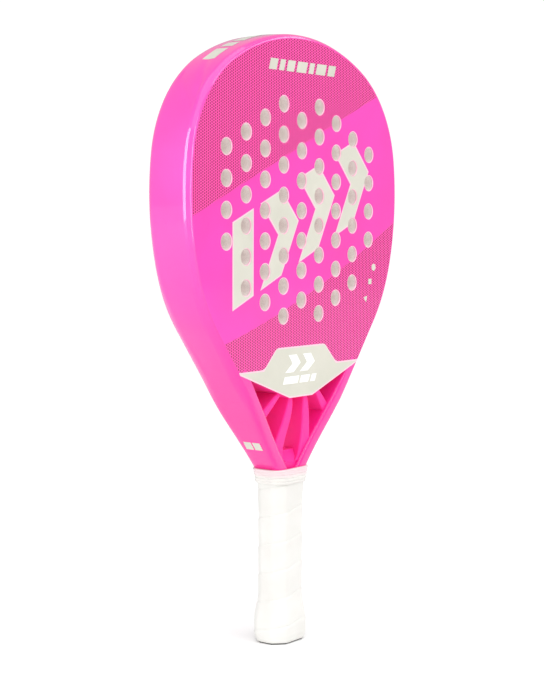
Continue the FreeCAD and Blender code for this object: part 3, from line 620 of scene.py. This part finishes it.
def distance_at(x):
    """Where on the outline, from the top, the right half reaches this x."""
    low, high = 0.0, 170.0
    for _ in range(40):
        middle = (low + high) / 2
        if path(middle)[0] < x:
            low = middle
        else:
            high = middle
    return low


PATCH_ROWS = 8
PATCH_COLUMNS = 6
PROUD = 0.09


def wall_patch(start, end, side, v0, v1):
    """Rows of points over the outer wall, just proud of it."""
    rows = []
    for i in range(PATCH_ROWS + 1):
        signed = start + (end - start) * i / PATCH_ROWS
        distance = abs(signed)
        half = side if signed >= 0 else -side
        z = path(distance)[1]
        _, edge = quarter(z)
        row = []
        for j in range(PATCH_COLUMNS + 1):
            v = v0 + (v1 - v0) * j / PATCH_COLUMNS
            u = crown(z, v, edge) + crease(distance, v) - PROUD
            row.append(placed(distance, half, u, v))
        rows.append(row)
    return rows


def make_patches(name, patches, material, replaced):
    verts = []
    faces = []
    for rows in patches:
        base = len(verts)
        wide = len(rows[0])
        verts += [p for row in rows for p in row]
        for i in range(len(rows) - 1):
            for j in range(wide - 1):
                k = base + i * wide + j
                faces.append((k, k + 1, k + wide + 1, k + wide))
    new_piece(name, verts, faces, material, "beige_print", replaced)


RIM_BARS = ((-86, 16), (-66, 9), (-53, 22), (-27, 9), (-14, 28),
            (18, 9), (31, 22), (57, 9), (70, 16))


def make_wall_prints(material):
    """The bars over the top of the rim, and two marks low on each leg."""
    bars = []
    for left, width in RIM_BARS:
        ends = [math.copysign(distance_at(abs(x)), x) for x in (left, left + width)]
        bars.append(wall_patch(ends[0], ends[1], 1, -6.0, 5.0))
    make_patches("rim_bar_prints", bars, material, "rim_bars")
    leg_start = sum(piece[1] for piece in PIECES[:4])
    leg_z = path(leg_start)[1]
    rate = math.sin(path(leg_start)[2])
    ends = [leg_start + (leg_z - z) / rate for z in (155.0, 149.0)]
    for name, side in (("side_mark_left", -1), ("side_mark_right", 1)):
        marks = [wall_patch(ends[0], ends[1], side, v, v + 7.0) for v in (-7.6, 0.6)]
        make_patches(name + "_print", marks, material, name)


HOLE_TOP = 403.2
HOLE_ACROSS = 22.13
HOLE_UP = 22.09
HOLE_COLUMNS = ((1, 7), (0, 8), (1, 7), (2, 6), (3, 4))


def hole_centres():
    """The 57 holes, column by column outwards: half rows down from the top, and how many."""
    centres = []
    for column, (half_row, count) in enumerate(HOLE_COLUMNS):
        for step in range(count):
            z = HOLE_TOP - (half_row / 2 + step) * HOLE_UP
            for side in ((1, -1) if column else (1,)):
                centres.append((side * column * HOLE_ACROSS, z))
    return centres


LIP_PROFILE = ((6.36, 19.03), (6.15, 18.98), (5.85, 18.75),
               (5.7, 18.35), (5.75, 17.9), (6.36, 17.6))


def make_hole_lips(material):
    """The thin rounded lip of lacquer round every drilled hole, front and rear."""
    verts = []
    faces = []
    around = 40
    for x, z in hole_centres():
        for front in (-1, 1):
            base = len(verts)
            for k in range(around):
                angle = 2 * math.pi * k / around
                for r, y in LIP_PROFILE:
                    point = (x + r * math.cos(angle), front * y, z + r * math.sin(angle))
                    verts.append(Vector(point) * MM)
            n = len(LIP_PROFILE)
            for k in range(around):
                a = base + k * n
                b = base + (k + 1) % around * n
                for j in range(n):
                    quad = (a + j, a + (j + 1) % n, b + (j + 1) % n, b + j)
                    faces.append(quad if front < 0 else tuple(reversed(quad)))
    new_piece("hole_lips", verts, faces, material, "face_print")


# ---------------------------------------------------------------- handle pieces

def octagon_point(angle, half_width, half_depth, corner, rounding):
    """A point of a round-cornered octagon in the direction of an angle."""
    c = math.cos(angle)
    s = math.sin(angle)
    limit = (half_width + half_depth - corner) / math.sqrt(2)
    sides = ((abs(c), half_width), (abs(s), half_depth),
             ((abs(c) + abs(s)) / math.sqrt(2), limit))
    total = sum((max(part, 1e-6) / size) ** rounding for part, size in sides)
    radius = total ** (-1.0 / rounding)
    return radius * c, radius * s


def blend_sizes(levels, z):
    """The sizes at height z, read from a list of (height, sizes...) and eased between them."""
    for low, high in zip(levels, levels[1:]):
        if z <= high[0]:
            t = ease(z, low[0], high[0])
            return [a + (b - a) * t for a, b in zip(low[1:], high[1:])]
    return list(levels[-1][1:])


def make_sleeve(name, heights, around, outer, inner_sizes, material, slot, replaced):
    """A closed sleeve: an outer skin of rings, and a straight inner wall back down."""
    turns = [2 * math.pi * k / around for k in range(around)]
    verts = [outer(angle, z) for z in heights for angle in turns]
    for z in (heights[-1], heights[0]):
        verts += [(*octagon_point(angle, *inner_sizes), z) for angle in turns]
    rings = len(heights) + 2
    faces = []
    for ring in range(rings):
        here, after = ring * around, (ring + 1) % rings * around
        for k in range(around):
            n = (k + 1) % around
            faces.append((here + k, here + n, after + n, after + k))
    new_piece(name, [Vector(v) * MM for v in verts], faces, material, slot, replaced)


def pushed(levels, angle, z, relief):
    """A point of the skin that these sizes give, moved outward by the relief."""
    x, y = octagon_point(angle, *blend_sizes(levels, z))
    push = 1 + relief / math.hypot(x, y)
    return (x * push, y * push, z)


# height, half width, half depth, corner cut and squareness
GRIP_LEVELS = (
    (1.2, 19.4, 14.7, 8.4, 26.0),
    (3.0, 20.2, 15.4, 8.7, 24.0),
    (7.0, 20.8, 16.2, 8.9, 22.0),
    (15.0, 20.8, 16.2, 8.9, 20.0),
    (38.0, 17.6, 13.9, 7.9, 20.0),
    (96.0, 17.6, 13.9, 7.9, 20.0),
    (125.4, 18.3, 14.5, 8.1, 20.0),
)
GRIP_INNER = (16.6, 12.9, 7.4, 20.0)
GRIP_START = 1.2
WRAP_PITCH = 21.5
SEAM_DEPTH = 0.4
SEAM_WIDTH = 0.9


def wrap_relief(angle, z):
    """Height of the wound band over the handle: thick at one edge, tucked under at the other."""
    turn = z / WRAP_PITCH - angle / (2 * math.pi)
    phase = turn - math.floor(turn)
    slope = 0.30 * (phase - 0.5)
    away = min(phase, 1 - phase) * WRAP_PITCH
    return slope - SEAM_DEPTH * math.exp(-(away / SEAM_WIDTH) ** 2)


def grip_place(angle, z):
    fade = min(1.0, (z - GRIP_START) / 4.0)
    return pushed(GRIP_LEVELS, angle, z, wrap_relief(angle, z) * fade)


def make_grip(material):
    heights = [GRIP_START + 0.45 * k for k in range(277)]
    make_sleeve("grip_wrap", heights, 200, grip_place, GRIP_INNER,
                material, "grip_band", "base_grip")


TAPE_LEVELS = (
    (121.6, 19.2, 15.4, 8.2, 24.0),
    (122.4, 19.8, 16.0, 8.4, 24.0),
    (126.0, 20.2, 16.2, 8.4, 24.0),
    (129.0, 21.0, 15.6, 7.4, 26.0),
    (131.8, 22.0, 14.3, 5.8, 34.0),
    (132.8, 22.0, 13.9, 5.5, 34.0),
)
TAPE_INNER = (17.0, 12.2, 5.5, 14.0)
TAPE_START = 121.6
GROOVES = (123.8, 126.2, 128.6, 131.0)


def tape_place(angle, z):
    groove = sum(0.5 * math.exp(-((z - centre) / 0.4) ** 2) for centre in GROOVES)
    return pushed(TAPE_LEVELS, angle, z, -groove)


def make_tape(material):
    heights = [TAPE_START + 0.2 * k for k in range(57)]
    make_sleeve("tape_band", heights, 160, tape_place, TAPE_INNER,
                material, "tape_rubber", "finishing_tape")


# ---------------------------------------------------------------- stage

FLOOR_RADII = (0.6, 2.0, 6.0)
FLOOR_SPOKES = 48


def add_floor():
    """A round floor: a fan in the middle and two rings outside it."""
    verts = [(0.0, 0.0, 0.0)]
    for radius in FLOOR_RADII:
        for k in range(FLOOR_SPOKES):
            angle = 2 * math.pi * k / FLOOR_SPOKES
            verts.append((radius * math.cos(angle), radius * math.sin(angle), 0.0))
    faces = [(0, 1 + k, 1 + (k + 1) % FLOOR_SPOKES) for k in range(FLOOR_SPOKES)]
    for ring in range(len(FLOOR_RADII) - 1):
        a = 1 + FLOOR_SPOKES * ring
        b = a + FLOOR_SPOKES
        for k in range(FLOOR_SPOKES):
            n = (k + 1) % FLOOR_SPOKES
            faces.append((a + k, b + k, b + n, a + n))
    mesh = bpy.data.meshes.new("floor")
    mesh.from_pydata(verts, [], faces)
    floor = bpy.data.objects.new("floor", mesh)
    scene.collection.objects.link(floor)
    mesh.materials.append(floor_material())


def add_area(name, place, aim, size, power):
    light = bpy.data.lights.new(name, "AREA")
    light.shape = "RECTANGLE"
    light.size, light.size_y = size
    light.energy = power
    lamp = bpy.data.objects.new(name, light)
    lamp.location = place
    way = Vector(aim) - Vector(place)
    lamp.rotation_euler = way.to_track_quat("-Z", "Y").to_euler()
    scene.collection.objects.link(lamp)


def add_lights():
    """A white studio that looks brighter than it lights, a wide sun and four soft boxes."""
    world = bpy.data.worlds.new("studio")
    world.use_nodes = True
    tree = world.node_tree
    sky = tree.nodes["Background"]
    sky.inputs[0].default_value = (1, 1, 1, 1)
    seen = tree.nodes.new("ShaderNodeLightPath")
    strength = tree.nodes.new("ShaderNodeMapRange")
    strength.inputs["To Min"].default_value = 0.55
    strength.inputs["To Max"].default_value = 1.05
    tree.links.new(seen.outputs["Is Camera Ray"], strength.inputs["Value"])
    tree.links.new(strength.outputs[0], sky.inputs[1])
    scene.world = world
    sun = bpy.data.lights.new("overhead", "SUN")
    sun.energy = 1.85
    sun.angle = math.radians(84)
    lamp = bpy.data.objects.new("overhead", sun)
    lamp.rotation_euler = (math.radians(22), 0.0, math.radians(-25))
    scene.collection.objects.link(lamp)
    add_area("camera_side_box", (-1.35, -1.85, 0.6), (0, 0, 0.28), (0.9, 1.5), 2.5)
    add_area("front_strip", (-0.25, -2.1, 0.6), (0, 0, 0.28), (0.16, 1.5), 5.0)
    add_area("high_strip", (1.19, -1.25, 1.68), (0, 0, 0.43), (2.0, 0.3), 6.5)
    add_area("left_strip", (-2.05, 0.56, 0.75), (0, 0, 0.3), (0.32, 1.7), 15.0)


def add_camera():
    azimuth = math.radians(-52.66)
    elevation = math.radians(4.37)
    back = Vector((math.sin(azimuth) * math.cos(elevation),
                   -math.cos(azimuth) * math.cos(elevation),
                   math.sin(elevation)))
    data = bpy.data.cameras.new("camera")
    data.sensor_width = 36.0
    data.lens = 83.29
    camera = bpy.data.objects.new("camera", data)
    camera.location = Vector((0.0098, 0.01583, 0.22749)) + back * 1.2025
    roll = Quaternion((0.0, 0.0, 1.0), 0.0032)
    camera.rotation_euler = (back.to_track_quat("Z", "Y") @ roll).to_euler()
    scene.collection.objects.link(camera)
    scene.camera = camera


# ---------------------------------------------------------------- everything

paint = frame_paint()
throat = throat_painted_shade()
face = face_print()
plate = plate_print()
emblem = emblem_print()
plain_beige = beige_print()
white = white_print()
pallet = plain_foam("pallet_foam", srgb(232, 224, 200), srgb(218, 208, 182))
looks = (
    (paint, ("frame_tube",)),
    (film_material(), ("frame_bladder",)),
    (face, ("front_face", "rear_face")),
    (core_foam(), ("core",)),
    (plain_foam("white_foam", srgb(240, 240, 236), srgb(228, 228, 222)), ("bridge_foam",)),
    (throat, ("bridge_shell", "neck_wedge", "rib_left_inner", "rib_left_outer",
              "rib_right_inner", "rib_right_outer")),
    (pallet, ("handle_pallet_front", "handle_pallet_rear")),
    (cap_plastic(), ("butt_cap",)),
    (steel(), ("cap_screws",)),
    (plate, ("heart_plate_front", "heart_plate_rear")),
    (white, ("plate_marks_front", "plate_marks_rear")),
    (emblem, ("emblem_front", "emblem_rear")),
    (plain_beige, ("word_bars", "small_icons", "rim_bars", "side_mark_left", "side_mark_right")),
)
for material, names in looks:
    for name in names:
        assign(name, material)

make_frame(paint)
make_wall_prints(plain_beige)
make_hole_lips(lip_lacquer())
make_grip(soft_band("grip_band", srgb(230, 230, 226), srgb(224, 223, 218)))
# The last number sets how strong the painted pink bounce light is at the collar's top.
make_tape(soft_band("tape_band", srgb(230, 228, 224), srgb(223, 221, 216), 0.9))
add_floor()
add_lights()
add_camera()
scene.view_settings.view_transform = "Standard"
